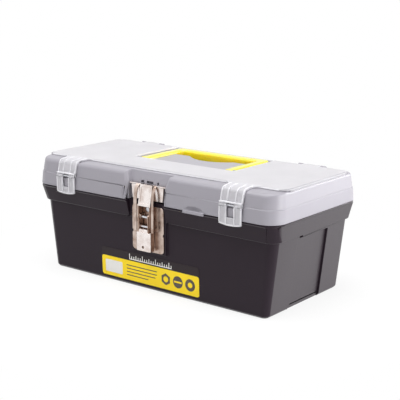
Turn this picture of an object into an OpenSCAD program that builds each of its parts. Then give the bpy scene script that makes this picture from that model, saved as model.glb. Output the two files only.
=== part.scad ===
// Plastic tool box with an organizer lid, a folding carry handle and a steel draw latch.
// Frame: millimetres, +X along the front, front faces -Y, +Z up, origin at the middle of the bottom.

/* [Body] */
// Length over the rim
body_l = 320; // [306:1:340]
// Depth over the rim
body_d = 154; // [148:1:166]
// Height up to the rim
body_h = 95; // [90:1:115]
// Length at the bottom
base_l = 288; // [276:1:300]
// Depth at the bottom
base_d = 132; // [124:1:134]
// Corner radius at the rim
rim_r = 18; // [14:1:22]
// Corner radius at the bottom
base_r = 7; // [5:0.5:10]
// Height of the rounded edge round the bottom
base_edge = 2.5; // [1.5:0.1:4]
// Wall thickness of the mouldings
wall = 1.8; // [1.5:0.1:2.6]
// Floor thickness
floor_t = 2.4; // [1.8:0.1:4]
// Height of the rim band
band_h = 19; // [15:0.5:24]
// Outward step under the rim band
band_step = 3; // [2:0.1:4]
// Inset of the band foot from the rim at the ends
band_in_l = 4; // [3:0.1:5]
// Inset of the band foot from the rim at front and back
band_in_d = 6.5; // [5:0.1:7.5]
// Thickness of the rim flange
flange_t = 1.6; // [1.2:0.1:2.4]
// Overhang of the rim flange beyond the band
flange_out = 1.6; // [1:0.1:2.4]
// Width of the sunk panel in each end wall
end_panel_w = 54; // [30:1:80]
// Depth of the sunk panel in each end wall
end_panel_depth = 2.5; // [1:0.1:3.5]
// Width of the small slot under the band in each end wall
end_slot_w = 5; // [3:0.5:8]

/* [Lid] */
// Gap between the rim and the closed lid
lid_gap = 0.3; // [0.2:0.05:0.6]
// Height of the lid skirt up to the seam line
skirt_h = 13.8; // [12:0.1:16]
// Height of the lid front face
brow_h = 28; // [26:0.1:32]
// Rise of the shoulder from the front face to the cover seat
shoulder_h = 1.5; // [1:0.1:3]
// Inset of the cover seat from the rim at the ends
seat_in_l = 4; // [3.5:0.1:8]
// Inset of the cover edge from the rim at front and back
cover_in_d = 18.5; // [17:0.1:21]
// Thickness of the organizer floor
tray_floor_t = 2.2; // [1.6:0.1:3]
// Height of the organizer floor above the lid edge
tray_lift = 1.6; // [1.2:0.1:4]
// Thickness of the organizer dividers
divider_t = 1.8; // [1.2:0.1:3]
// Diameter of the lid hinge pins
lid_pin_d = 4; // [3:0.1:5]
// Distance of each lid hinge from the middle
lid_hinge_x = 100; // [80:1:120]
// Width of the lift tab under the lid edge
tab_w = 26; // [15:1:40]
// Place of the lift tab along the front
tab_x = 65; // [55:1:75]

/* [Organizer cover] */
// Thickness of the clear cover
cover_t = 1.8; // [1.4:0.1:2.4]
// Corner radius of the cover
cover_r = 9; // [5:1:14]
// Height of the lip that the cover hangs over each lid end
cover_lip_h = 4.2; // [2.5:0.1:5]
// Thickness of the lip that the cover hangs over each lid end
cover_lip_t = 1.5; // [1:0.1:1.9]
// Distance of each clip arm from the middle
clip_x = 110; // [95:1:120]
// Width of the clip arms and clips
clip_w = 26; // [22:1:32]
// Length of the clips below the seam line
clip_drop = 19.6; // [17:0.1:22]
// Width of the window in each clip
window_w = 8.5; // [5:0.1:12]
// Height of the window in each clip
window_h = 9; // [6:0.1:11]
// Diameter of the clip pins
clip_pin_d = 1.6; // [1.2:0.1:1.8]
// Diameter of the cover hinge pins
cover_pin_d = 2.4; // [1.8:0.1:2.8]

/* [Handle] */
// Width over the handle arms
handle_w = 124; // [100:1:140]
// Length from the pivot to the back of the grip
handle_reach = 68; // [60:0.5:68.5]
// Width of the handle arms
arm_w = 10; // [7:0.5:13]
// Depth of the grip bar
grip_d = 10.5; // [8:0.5:14]
// Height of the grip bar
grip_h = 11; // [9:0.5:11.5]
// Width of the deeper hand hold in the grip
grip_w = 96; // [80:1:100]
// Radius of the handle's back corners
handle_r = 6; // [3:0.5:10]
// Height of the handle arms
arm_h = 8.6; // [7.6:0.1:10]
// Depth of the handle recess below the cover top
well_depth = 14.5; // [12.5:0.1:18]
// Room beside the handle in its recess
well_room = 5; // [3:0.1:8]
// Depth of the raised floor between the handle arms below the cover top
shelf_depth = 3.3; // [2.4:0.1:6]
// Room for fingers between the raised floor and the grip
finger_room = 12.8; // [11:0.1:16]
// Depth of the finger scoop in the raised floor
finger_scoop = 8; // [4:0.5:10]
// Diameter of the handle pins
handle_pin_d = 4; // [3:0.1:4.6]

/* [Latch] */
// Width of the latch base plate
latch_w = 42; // [38:0.5:46]
// Height of the latch base plate
base_plate_h = 48; // [44:0.5:52]
// Corner radius of the latch base plate
plate_r = 3; // [1:0.5:6]
// Thickness of the latch sheet steel
sheet = 1.2; // [1:0.1:1.4]
// Margin of the moulded pad beside the base plate
pad_margin = 4; // [3:0.1:6]
// Height of the moulded pad above the wall
pad_out = 2; // [1.2:0.1:2.6]
// Height of the hook plate
hook_h = 16; // [14:0.1:17]
// Width of the lip on the hook
lip_w = 48; // [44:0.5:52]
// Depth of the lip on the hook
lip_d = 3.4; // [2.4:0.1:4]
// Length of the lever from its pivot
lever_l = 35; // [32:0.1:38]
// Diameter of the latch pins
latch_pin_d = 2.4; // [2:0.1:2.8]
// Distance from the lever pivot to the link pin
link_throw = 10; // [9:0.1:11]

/* [Label] */
// Width of the front label
label_w = 133; // [100:1:150]
// Height of the front label
label_h = 31; // [20:0.5:33]
// Height of the lower edge of the label
label_z = 5.5; // [5:0.5:8]
// Sideways place of the label
label_x = -3; // [-10:1:10]
// Thickness of the label
label_t = 0.4; // [0.2:0.1:0.6]
// Corner radius of the label
label_r = 3; // [1:0.5:8]

/* [Hidden] */
$fn = 48;

// Clearances: running and held pins, sliding faces, free air between mouldings
pin_run = 0.08;
pin_hold = 0.02;
side_gap = 0.4;
air = 0.4;
over = 1;
// Straight pieces in each rounded corner
arc_n = 8;

// Body heights and outlines
band_z = body_h - band_h;
ledge_rise = 0.6;
wall_l = body_l - 2 * (band_in_l + band_step);
wall_d = body_d - 2 * (band_in_d + band_step);
wall_r = base_r + 2;
band_r = wall_r + band_step;
band_top_l = body_l - 2 * flange_out;
band_top_d = body_d - 2 * flange_out - 1;
flange_z = body_h - flange_t;
flange_blend = 0.6;
edge_in = 2.5;
end_slot_h = 2.2;
end_lean = atan((wall_l - base_l) / 2 / (band_z - base_edge));
front_lean = atan((wall_d - base_d) / 2 / (band_z - base_edge));

// Lid heights and outlines
lid_z = body_h + lid_gap;
seam_z = lid_z + skirt_h;
brow_z = lid_z + brow_h;
seat_z = brow_z + shoulder_h;
skirt_in_l = 0.6;
skirt_in_d = 1.3;
seam_step = 0.6;
brow_in_l = 2.4;
brow_in_d = 4.6;
brow_round = 0.9;
tray_z = lid_z + tray_lift + tray_floor_t;
seat_l = body_l - 2 * seat_in_l;
cover_lip_x = body_l / 2 - brow_in_l + air;
cover_l = 2 * (cover_lip_x + cover_lip_t);
cover_d = body_d - 2 * cover_in_d;
cover_gap = 0.2;
cover_z = seat_z + cover_gap;
cover_top = cover_z + cover_t;
seat_in = 0.5;
rim_l = 4.5;
rim_d = 3.5;
hollow_z = seam_z + 8.6;
skirt_y = body_d / 2 - skirt_in_d;
step_y = skirt_y - seam_step;
brow_y = body_d / 2 - brow_in_d;

// Lid hinge
hinge_y = body_d / 2 + 5;
hinge_z = body_h - 1;
knuckle_r = lid_pin_d / 2 + 2;
lid_knuckle_w = 16;
body_knuckle_w = 9;
hinge_w = lid_knuckle_w + 2 * (body_knuckle_w + side_gap);

// Cover hinge
cover_hinge_y = cover_d / 2 + 5;
cover_hinge_z = cover_z - 1;
cover_knuckle_r = cover_pin_d / 2 + 1.3;
cover_knuckle_w = 20;
cover_ear_w = 6;
cover_hinge_w = cover_knuckle_w + 2 * (cover_ear_w + side_gap);

// Clips and their arms
flap_y = body_d / 2 + air;
web_t = 1.5;
rib_t = 2.2;
flap_curve = 60;
clip_pin_y = body_d / 2 + 0.8;
clip_pin_z = seam_z;
clip_knuckle_r = clip_pin_d / 2 + 0.9;
clip_ear_w = 5;
clip_knuckle_w = clip_w - 2 * (clip_ear_w + side_gap);
flap_top = clip_pin_z - clip_knuckle_r - air;
clip_arm_z = clip_pin_z + 2.2;
window_z = clip_pin_z - 3 - window_h;
catch_w = window_w - 2;
catch_h = window_h - 4;

// Handle and its recess
handle_top = cover_top - 0.6;
pivot_y = cover_hinge_y - 5 - 0.7 - handle_reach;
pivot_r = arm_h / 2;
pivot_z = handle_top - pivot_r;
well_x = handle_w / 2 + well_room;
well_front = pivot_y - pivot_r - 1;
well_back = cover_d / 2;
well_z = cover_top - well_depth;
well_wall = 2;
shelf_gap = 1;
shelf_x = handle_w / 2 - arm_w - shelf_gap;
shelf_z = cover_top - shelf_depth;
shelf_back = pivot_y + handle_reach - grip_d - finger_room;
finger_scoop_r = 40;
handle_boss_r = handle_pin_d / 2 + 2.3;
handle_boss_l = 6;

// Latch
pad_y = wall_d / 2 + pad_out;
pad_w = latch_w + 2 * pad_margin;
plate_top = body_h - 4;
plate_z = plate_top - base_plate_h;
pad_z = plate_z - 1.5;
plate_y = pad_y + sheet;
pivot_a_y = plate_y + 3.8;
pivot_drop = 11;
pivot_a_z = plate_top - pivot_drop;
link_z = pivot_a_z - link_throw;
cheek_t = 1;
ear_x = 5.4;
cheek_x = ear_x + 0.3 + cheek_t;
hook_ear_x = cheek_x + 0.3 + sheet;
skirt_x = hook_ear_x + 0.3 + cheek_t;
ear_r = latch_pin_d / 2 + 1.4;
cheek_r = latch_pin_d / 2 + 2;
lever_front = 4;
lever_back = 3;
lever_wide_u = link_throw + 5.4;
hook_z = body_h + 2;
hook_front = pivot_a_y + 2;
hook_slim = plate_y + 1.6;
hook_back = pivot_a_y - 3.2;
hook_panel_z = plate_top;
lip_room = 0.7;
recess_w = lip_w + 5;
recess_y = pad_y - lip_d + sheet - lip_room;
scoop = 6;
rivet_d = 3.2;
rivet_head_d = 6;
rivet_head_t = 0.9;
rivet_low = 7;
rivet_mid = 20;
rivet_high = 3.6;
rivet_zs = [plate_z + rivet_low, plate_z + rivet_mid, plate_top - rivet_high];
hang_hole_d = 3;
hang_hole_up = 4;

// Colours
charcoal = "#3b363a";
grey = "#9c9aa2";
clear_white = "#e2e0e6";
yellow = "#f5d21c";
steel = "#c9bfb2";
pin_steel = "#b8b8bc";

// Corner points of a rounded rectangle, lying flat at height z
function ring(l, d, r, z) = [
    for (c = [0:3])
        for (k = [0:arc_n])
            let (a = 90 * (c + k / arc_n))
            let (sx = (c == 0 || c == 3) ? 1 : -1)
            let (sy = (c < 2) ? 1 : -1)
            [sx * (l / 2 - r) + r * cos(a), sy * (d / 2 - r) + r * sin(a), z]
];

// Smooth body through a stack of rounded rectangles, each given as [length, depth, radius, height]
module loft(stack) {
    n = 4 * (arc_n + 1);
    m = len(stack);
    points = [for (s = stack) each ring(s[0], s[1], s[2], s[3])];
    sides = [
        for (i = [0:m - 2])
            for (k = [0:n - 1])
                let (a = i * n + k)
                let (b = i * n + (k + 1) % n)
                each [[a, a + n, b + n], [a, b + n, b]]
    ];
    foot = [for (k = [0:n - 1]) k];
    crown = [for (k = [n - 1:-1:0]) (m - 1) * n + k];
    polyhedron(points, concat([foot], sides, [crown]), convexity = 6);
}

// Box between two corners
module box(a, b) {
    translate(a) cube(b - a);
}

// Cylinder along X between x0 and x1, centred at y and z
module rod(x0, x1, y, z, r) {
    translate([x0, y, z]) rotate([0, 90, 0]) cylinder(h = x1 - x0, r = r);
}

// Profile in Y and Z, extruded along X between x0 and x1
module along_x(x0, x1) {
    translate([x0, 0, 0]) rotate([90, 0, 90]) linear_extrude(x1 - x0) children();
}

// Flat rounded rectangle with true arcs
module rounded(l, d, r) {
    square([l - 2 * r, d], center = true);
    square([l, d - 2 * r], center = true);
    for (sx = [-1, 1])
        for (sy = [-1, 1])
            translate([sx * (l / 2 - r), sy * (d / 2 - r)]) circle(r);
}

// Front distance of the inner wall face of the body at height z
function inner_front(z) = z < band_z
    ? min(base_d / 2 + (z - base_edge) * tan(front_lean), pad_y) - wall
    : pad_y - wall;

// Outer stack of the body, without its sunk panels
body_outer = [
    [base_l - 2 * edge_in, base_d - 2 * edge_in, base_r - edge_in, 0],
    [base_l, base_d, base_r, base_edge],
    [wall_l, wall_d, wall_r, band_z],
    [wall_l + 2 * band_step, wall_d + 2 * band_step, band_r, band_z + ledge_rise],
    [band_top_l, band_top_d, band_r, flange_z - flange_blend],
    [body_l, body_d, rim_r, flange_z],
    [body_l, body_d, rim_r, body_h]
];

// Inner stack of the body, with the ledge that the band leaves inside
body_inner = [
    [base_l - 2 * wall - edge_in, base_d - 2 * wall - edge_in, base_r - wall - edge_in / 2, floor_t],
    [base_l - 2 * wall, base_d - 2 * wall, base_r - wall, floor_t + base_edge],
    [wall_l - 2 * wall, wall_d - 2 * wall, wall_r - wall, band_z],
    [wall_l + 2 * band_step - 2 * wall, wall_d + 2 * band_step - 2 * wall, band_r - wall, band_z + wall],
    [band_top_l - 2 * wall, band_top_d - 2 * wall, band_r - wall, flange_z],
    [band_top_l - 2 * wall, band_top_d - 2 * wall, band_r - wall, body_h + over]
];

// Block that lies in an end wall, sunk by the given depth and widened by the given margin
module end_panel(depth, margin, height) {
    for (s = [0, 1])
        mirror([s, 0, 0])
            translate([base_l / 2, 0, base_edge]) rotate([0, end_lean, 0])
                box([-depth, -end_panel_w / 2 - margin, -band_h], [band_h, end_panel_w / 2 + margin, height]);
}

// Body half of the lid hinges
module body_knuckles() {
    for (s = [-1, 1])
        for (t = [-1, 1]) {
            x = s * lid_hinge_x + t * (lid_knuckle_w + body_knuckle_w + 2 * side_gap) / 2;
            x0 = x - body_knuckle_w / 2;
            x1 = x + body_knuckle_w / 2;
            rod(x0, x1, hinge_y, hinge_z, knuckle_r);
            box([x0, band_top_d / 2 - wall, flange_z - 6], [x1, hinge_y, hinge_z]);
        }
}

module body_tub() {
    panel_rise = (band_z - base_edge - 3) / cos(end_lean);
    color(charcoal)
    difference() {
        union() {
            difference() {
                union() {
                    loft(body_outer);
                    box([-pad_w / 2, -pad_y, pad_z], [pad_w / 2, -wall_d / 2 + wall / 2, body_h]);
                }
                box([-pad_w / 2, -body_d, pad_z], [pad_w / 2, -pad_y, body_h + over]);
                end_panel(end_panel_depth, 0, panel_rise);
                difference() {
                    loft(body_inner);
                    box([-pad_w / 2 - wall, -body_d, pad_z], [pad_w / 2 + wall, -pad_y + wall, body_h + 2 * over]);
                    end_panel(end_panel_depth + wall, wall, panel_rise + wall);
                }
            }
            body_knuckles();
        }
        for (s = [-1, 1]) {
            x = s * lid_hinge_x;
            rod(x - hinge_w / 2 - over, x + hinge_w / 2 + over, hinge_y, hinge_z, lid_pin_d / 2 + pin_hold);
        }
        for (s = [0, 1])
            mirror([s, 0, 0])
                box([wall_l / 2 - end_panel_depth, -end_panel_w / 2 + 3, band_z - end_slot_h],
                    [body_l, -end_panel_w / 2 + 3 + end_slot_w, band_z + ledge_rise / 2]);
        for (z = rivet_zs)
            translate([0, -pad_y - over, z]) rotate([-90, 0, 0])
                cylinder(h = pad_out + 4 * wall, d = rivet_d + 2 * pin_hold);
    }
}

module label_sticker() {
    color(yellow)
    translate([label_x, -base_d / 2, base_edge]) rotate([front_lean, 0, 0])
        translate([0, -pin_hold, label_z - base_edge + label_h / 2]) rotate([90, 0, 0])
            linear_extrude(label_t) rounded(label_w, label_h, label_r);
}

// Outer stack of the lid
lid_outer = [
    [body_l, body_d, rim_r, lid_z],
    [body_l - 2 * skirt_in_l, 2 * skirt_y, rim_r, seam_z - 0.4],
    [body_l - 2 * (skirt_in_l + seam_step), 2 * step_y, rim_r - seam_step, seam_z + 0.2],
    [body_l - 2 * brow_in_l, 2 * brow_y, rim_r - 2, brow_z - brow_round],
    [body_l - 2 * (brow_in_l + brow_round / 2), 2 * (brow_y - brow_round), rim_r - 3, brow_z],
    [seat_l, cover_d - 2 * seat_in, cover_r, seat_z]
];

// Room for small parts in the lid, open at the top, with the handle recess and dividers left standing
module lid_compartments() {
    l = seat_l - 2 * rim_l;
    d = cover_d - 2 * rim_d;
    h = seat_z - tray_z;
    difference() {
        translate([0, 0, tray_z]) linear_extrude(h + over) rounded(l, d, cover_r - rim_d);
        box([-well_x - well_wall, well_front - well_wall, tray_z - over], [well_x + well_wall, d, seat_z + 2 * over]);
        for (s = [-1, 1]) {
            x = s * (well_x + well_wall / 2);
            box([x - divider_t / 2, -d, tray_z - over], [x + divider_t / 2, well_front, seat_z - over]);
            xo = s * (well_x + l / 2) / 2;
            box([xo - divider_t / 2, -d, tray_z - over], [xo + divider_t / 2, d, seat_z - over]);
            box([s > 0 ? well_x : -l, -divider_t / 2, tray_z - over], [s > 0 ? l : -well_x, divider_t / 2, seat_z - over]);
        }
        box([-divider_t / 2, -d, tray_z - over], [divider_t / 2, well_front, seat_z - over]);
    }
}

// Hollow under the lid shoulders
module lid_hollow() {
    difference() {
        loft([
            [body_l - 2 * wall, body_d - 2 * wall, rim_r - wall, lid_z - over],
            [body_l - 2 * (skirt_in_l + seam_step + wall), 2 * (step_y - wall), rim_r - wall, seam_z],
            [body_l - 2 * (brow_in_l + wall), 2 * (brow_y - wall), rim_r - wall - 2, hollow_z]
        ]);
        translate([0, 0, lid_z + tray_lift]) linear_extrude(seat_z)
            rounded(seat_l - 2 * rim_l + 2 * wall, cover_d - 2 * rim_d + 2 * wall, cover_r);
        box([-recess_w / 2 - wall, -body_d, lid_z - 2 * over], [recess_w / 2 + wall, -recess_y + wall, seat_z]);
    }
    box([-well_x, well_front, lid_z - over], [well_x, well_back - 2 * rim_d, well_z - tray_floor_t]);
    box([-shelf_x + wall, well_front + wall, lid_z - over],
        [shelf_x - wall, shelf_back - finger_scoop - wall, shelf_z - wall]);
}

// Handle recess, with a raised floor between the arms that is scooped for the fingers
module handle_well() {
    difference() {
        box([-well_x, well_front, well_z], [well_x, well_back, cover_top + over]);
        difference() {
            box([-shelf_x, well_front - over, well_z - over], [shelf_x, shelf_back, shelf_z]);
            translate([0, shelf_back - finger_scoop + finger_scoop_r, well_z - 2 * over])
                cylinder(h = well_depth, r = finger_scoop_r, $fn = 96);
        }
    }
}

// Scooped recess for the latch in the lid front
module latch_recess() {
    along_x(-recess_w / 2, recess_w / 2)
        polygon([
            [-body_d, lid_z - over], [-recess_y, lid_z - over], [-recess_y, brow_z - scoop],
            [-recess_y - 1, brow_z - scoop / 2], [-recess_y - scoop / 2, brow_z - scoop / 6],
            [-brow_y + brow_round, brow_z + 0.2], [-body_d, brow_z + 0.2]
        ]);
}

module lid_shell() {
    color(grey)
    difference() {
        union() {
            difference() {
                loft(lid_outer);
                lid_compartments();
                lid_hollow();
                latch_recess();
                handle_well();
                for (s = [-1, 1]) {
                    x = s * clip_x;
                    w = cover_knuckle_w / 2 + side_gap;
                    box([x - w, cover_hinge_y - cover_knuckle_r - air, cover_hinge_z - cover_knuckle_r - air],
                        [x + w, cover_hinge_y + cover_knuckle_r + air, cover_top + over]);
                }
            }
            for (s = [-1, 1]) {
                x = s * lid_hinge_x;
                rod(x - lid_knuckle_w / 2, x + lid_knuckle_w / 2, hinge_y, hinge_z, knuckle_r);
                box([x - lid_knuckle_w / 2, skirt_y - wall, lid_z + lid_gap],
                    [x + lid_knuckle_w / 2, hinge_y, hinge_z + knuckle_r]);
                // Ears that carry the cover hinge pins
                for (t = [-1, 1]) {
                    xe = s * clip_x + t * (cover_knuckle_w + cover_ear_w + 2 * side_gap) / 2;
                    rod(xe - cover_ear_w / 2, xe + cover_ear_w / 2, cover_hinge_y, cover_hinge_z, cover_knuckle_r);
                }
                // Catch that the clip window snaps round
                box([s * clip_x - catch_w / 2, -body_d / 2 - 0.1, window_z + 2],
                    [s * clip_x + catch_w / 2, -skirt_y + wall / 2, window_z + 2 + catch_h]);
                // Boss that holds the handle pin, standing in from the side of the recess, under the cover
                mirror([s > 0 ? 0 : 1, 0, 0]) {
                    rod(handle_w / 2 + side_gap, well_x, pivot_y, pivot_z, handle_boss_r);
                    rod(well_x - over, well_x + handle_boss_l, pivot_y, pivot_z, cover_z - air - pivot_z);
                }
            }
            // Lift tab that hangs over the rim
            box([tab_x - tab_w / 2, -body_d / 2 - 1.8, lid_z - 2], [tab_x + tab_w / 2, -body_d / 2 - air, lid_z + 1.5]);
            box([tab_x - tab_w / 2, -body_d / 2 - air, lid_z], [tab_x + tab_w / 2, -skirt_y + wall / 2, lid_z + 1.5]);
        }
        for (s = [-1, 1]) {
            x = s * lid_hinge_x;
            rod(x - lid_knuckle_w, x + lid_knuckle_w, hinge_y, hinge_z, lid_pin_d / 2 + pin_run);
            rod(s * clip_x - cover_hinge_w / 2 - over, s * clip_x + cover_hinge_w / 2 + over,
                cover_hinge_y, cover_hinge_z, cover_pin_d / 2 + pin_hold);
            mirror([s > 0 ? 0 : 1, 0, 0])
                rod(handle_w / 2 - over, well_x + handle_boss_l - over, pivot_y, pivot_z, handle_pin_d / 2 + pin_hold);
        }
    }
}

// Steel hinge pin of the lid, side -1 or 1
module lid_hinge_pin(s) {
    color(pin_steel)
        rod(s * lid_hinge_x - hinge_w / 2, s * lid_hinge_x + hinge_w / 2, hinge_y, hinge_z, lid_pin_d / 2);
}

// Strip from the cover edge down the lid front, between x0 and x1, with thickness t
module arm_strip(x0, x1, t) {
    front = step_y + air;
    along_x(x0, x1)
        polygon([
            [-cover_d / 2 + 4, cover_z], [-cover_d / 2, cover_z],
            [-brow_y + brow_round - 0.2, brow_z + air + 0.2], [-brow_y - air, brow_z - brow_round + 0.2],
            [-front, clip_arm_z], [-front - t, clip_arm_z],
            [-brow_y - air - t, brow_z - brow_round + 1], [-brow_y + brow_round - 0.8, brow_z + air + t],
            [-cover_d / 2, cover_top], [-cover_d / 2 + 4, cover_top]
        ]);
}

// Arm that carries a clip: a thin web between two thicker ribs, with an ear under each rib
module clip_arm(x) {
    arm_strip(x - clip_w / 2, x + clip_w / 2, web_t);
    for (t = [-1, 1]) {
        xe = x + t * (clip_w - clip_ear_w) / 2;
        arm_strip(xe - clip_ear_w / 2, xe + clip_ear_w / 2, rib_t);
        rod(xe - clip_ear_w / 2, xe + clip_ear_w / 2, -clip_pin_y, clip_pin_z, clip_knuckle_r);
        box([xe - clip_ear_w / 2, -clip_pin_y - clip_knuckle_r / 2, clip_pin_z],
            [xe + clip_ear_w / 2, -step_y - air, clip_arm_z + over]);
    }
}

module organizer_cover() {
    notch_x = well_x + 0.6;
    color(clear_white)
    difference() {
        union() {
            translate([0, 0, cover_z]) linear_extrude(cover_t) difference() {
                rounded(cover_l, cover_d, cover_r);
                translate([-notch_x, well_front - 0.6]) square([2 * notch_x, cover_d]);
            }
            for (s = [-1, 1]) {
                x = s * clip_x;
                lip_x = s * (cover_lip_x + cover_lip_t / 2);
                box([lip_x - cover_lip_t / 2, -cover_d / 2 + cover_r, cover_top - cover_lip_h],
                    [lip_x + cover_lip_t / 2, cover_d / 2 - cover_r, cover_top]);
                clip_arm(x);
                rod(x - cover_knuckle_w / 2, x + cover_knuckle_w / 2, cover_hinge_y, cover_hinge_z, cover_knuckle_r);
                box([x - cover_knuckle_w / 2, cover_d / 2 - 2, cover_z],
                    [x + cover_knuckle_w / 2, cover_hinge_y, cover_hinge_z + cover_knuckle_r]);
            }
        }
        for (s = [-1, 1]) {
            x = s * clip_x;
            rod(x - cover_knuckle_w, x + cover_knuckle_w, cover_hinge_y, cover_hinge_z, cover_pin_d / 2 + pin_run);
            rod(x - clip_w, x + clip_w, -clip_pin_y, clip_pin_z, clip_pin_d / 2 + pin_hold);
        }
    }
}

// Steel hinge pin of the cover, side -1 or 1
module cover_hinge_pin(s) {
    color(pin_steel)
        rod(s * clip_x - cover_hinge_w / 2, s * clip_x + cover_hinge_w / 2, cover_hinge_y, cover_hinge_z, cover_pin_d / 2);
}

// Clip that closes the cover, side -1 or 1
module clip(s) {
    x = s * clip_x;
    foot_z = clip_pin_z - clip_drop;
    color(clear_white)
    difference() {
        union() {
            intersection() {
                union() {
                    box([x - clip_w / 2, -flap_y - web_t, foot_z], [x + clip_w / 2, -flap_y, flap_top]);
                    for (t = [-1, 1]) {
                        xr = x + t * (clip_w - clip_ear_w) / 2;
                        box([xr - clip_ear_w / 2, -flap_y - rib_t, foot_z], [xr + clip_ear_w / 2, -flap_y, flap_top]);
                    }
                }
                translate([x, -flap_y + over, foot_z + flap_curve]) rotate([90, 0, 0])
                    cylinder(h = rib_t + 2 * over, r = flap_curve, $fn = 180);
            }
            box([x - clip_knuckle_w / 2, -flap_y - web_t, flap_top - over], [x + clip_knuckle_w / 2, -flap_y, clip_pin_z]);
            rod(x - clip_knuckle_w / 2, x + clip_knuckle_w / 2, -clip_pin_y, clip_pin_z, clip_knuckle_r);
        }
        box([x - window_w / 2, -body_d, window_z], [x + window_w / 2, -flap_y + over, window_z + window_h]);
        rod(x - clip_w, x + clip_w, -clip_pin_y, clip_pin_z, clip_pin_d / 2 + pin_run);
    }
}

// Pin of a clip, side -1 or 1
module clip_pin(s) {
    color(pin_steel)
        rod(s * clip_x - clip_w / 2, s * clip_x + clip_w / 2, -clip_pin_y, clip_pin_z, clip_pin_d / 2);
}

module carry_handle() {
    back = pivot_y + handle_reach;
    color(yellow)
    difference() {
        union() {
            for (s = [-1, 1])
                mirror([s > 0 ? 0 : 1, 0, 0])
                    rod(handle_w / 2 - arm_w, handle_w / 2, pivot_y, pivot_z, pivot_r);
            // Bail in plan: straight arms, rounded back corners
            translate([0, 0, handle_top - arm_h]) linear_extrude(arm_h) difference() {
                union() {
                    translate([-handle_w / 2, pivot_y]) square([handle_w, handle_reach - handle_r]);
                    translate([-handle_w / 2 + handle_r, pivot_y]) square([handle_w - 2 * handle_r, handle_reach]);
                    for (s = [-1, 1])
                        translate([s * (handle_w / 2 - handle_r), back - handle_r]) circle(handle_r);
                }
                translate([-handle_w / 2 + arm_w, pivot_y - pivot_r - over])
                    square([handle_w - 2 * arm_w, handle_reach - grip_d + pivot_r + over]);
            }
            // Deeper hand hold in the middle of the grip
            box([-grip_w / 2, back - grip_d, handle_top - grip_h], [grip_w / 2, back, handle_top - over]);
        }
        rod(-handle_w, handle_w, pivot_y, pivot_z, handle_pin_d / 2 + pin_run);
    }
}

// Pivot pin of the handle, side -1 or 1
module handle_pin(s) {
    color(pin_steel)
    mirror([s > 0 ? 0 : 1, 0, 0])
        rod(handle_w / 2 - arm_w, well_x + handle_boss_l - over, pivot_y, pivot_z, handle_pin_d / 2);
}

module latch_base() {
    color(steel)
    difference() {
        union() {
            translate([0, -pad_y, plate_top - base_plate_h / 2]) rotate([90, 0, 0])
                linear_extrude(sheet) rounded(latch_w, base_plate_h, plate_r);
            for (s = [-1, 1])
                mirror([s > 0 ? 0 : 1, 0, 0]) {
                    rod(ear_x - cheek_t, ear_x, -pivot_a_y, pivot_a_z, ear_r);
                    box([ear_x - cheek_t, -pivot_a_y, pivot_a_z - ear_r], [ear_x, -pad_y, pivot_a_z + ear_r]);
                }
        }
        rod(-latch_w, latch_w, -pivot_a_y, pivot_a_z, latch_pin_d / 2 + pin_hold);
        for (z = rivet_zs)
            translate([0, -plate_y - over, z]) rotate([-90, 0, 0])
                cylinder(h = sheet + 2 * over, d = rivet_d + 2 * pin_hold);
    }
}

module latch_rivets() {
    color(pin_steel)
    for (z = rivet_zs) {
        tail_y = -min(inner_front(z - rivet_head_d / 2), inner_front(z + rivet_head_d / 2)) + pin_hold;
        translate([0, -plate_y - rivet_head_t, z]) rotate([-90, 0, 0]) {
            cylinder(h = rivet_head_t, d = rivet_head_d);
            cylinder(h = tail_y + plate_y + 2 * rivet_head_t, d = rivet_d);
        }
        translate([0, tail_y, z]) rotate([-90, 0, 0]) cylinder(h = rivet_head_t, d = rivet_head_d);
    }
}

module latch_lever() {
    front = -pivot_a_y - lever_front;
    back = -pivot_a_y + lever_back;
    wide_z = pivot_a_z - lever_wide_u;
    foot_z = pivot_a_z - lever_l;
    color(steel)
    difference() {
        union() {
            for (s = [-1, 1])
                mirror([s > 0 ? 0 : 1, 0, 0]) {
                    rod(cheek_x - cheek_t, cheek_x, -pivot_a_y, pivot_a_z, cheek_r);
                    box([cheek_x - cheek_t, front, wide_z - 5], [cheek_x, back, link_z]);
                    box([cheek_x - cheek_t, -pivot_a_y - cheek_r, link_z], [cheek_x, -pivot_a_y + cheek_r, pivot_a_z]);
                    box([skirt_x - cheek_t, front, foot_z + 2], [skirt_x, back, wide_z]);
                }
            box([-skirt_x, front, foot_z], [skirt_x, front + cheek_t, wide_z]);
        }
        rod(-latch_w, latch_w, -pivot_a_y, pivot_a_z, latch_pin_d / 2 + pin_run);
        rod(-latch_w, latch_w, -pivot_a_y, link_z, latch_pin_d / 2 + pin_hold);
        translate([0, front - over, foot_z + hang_hole_up]) rotate([-90, 0, 0])
            cylinder(h = cheek_t + 2 * over, d = hang_hole_d);
    }
}

module latch_pivot_pin() {
    color(pin_steel) rod(-cheek_x, cheek_x, -pivot_a_y, pivot_a_z, latch_pin_d / 2);
}

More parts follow.
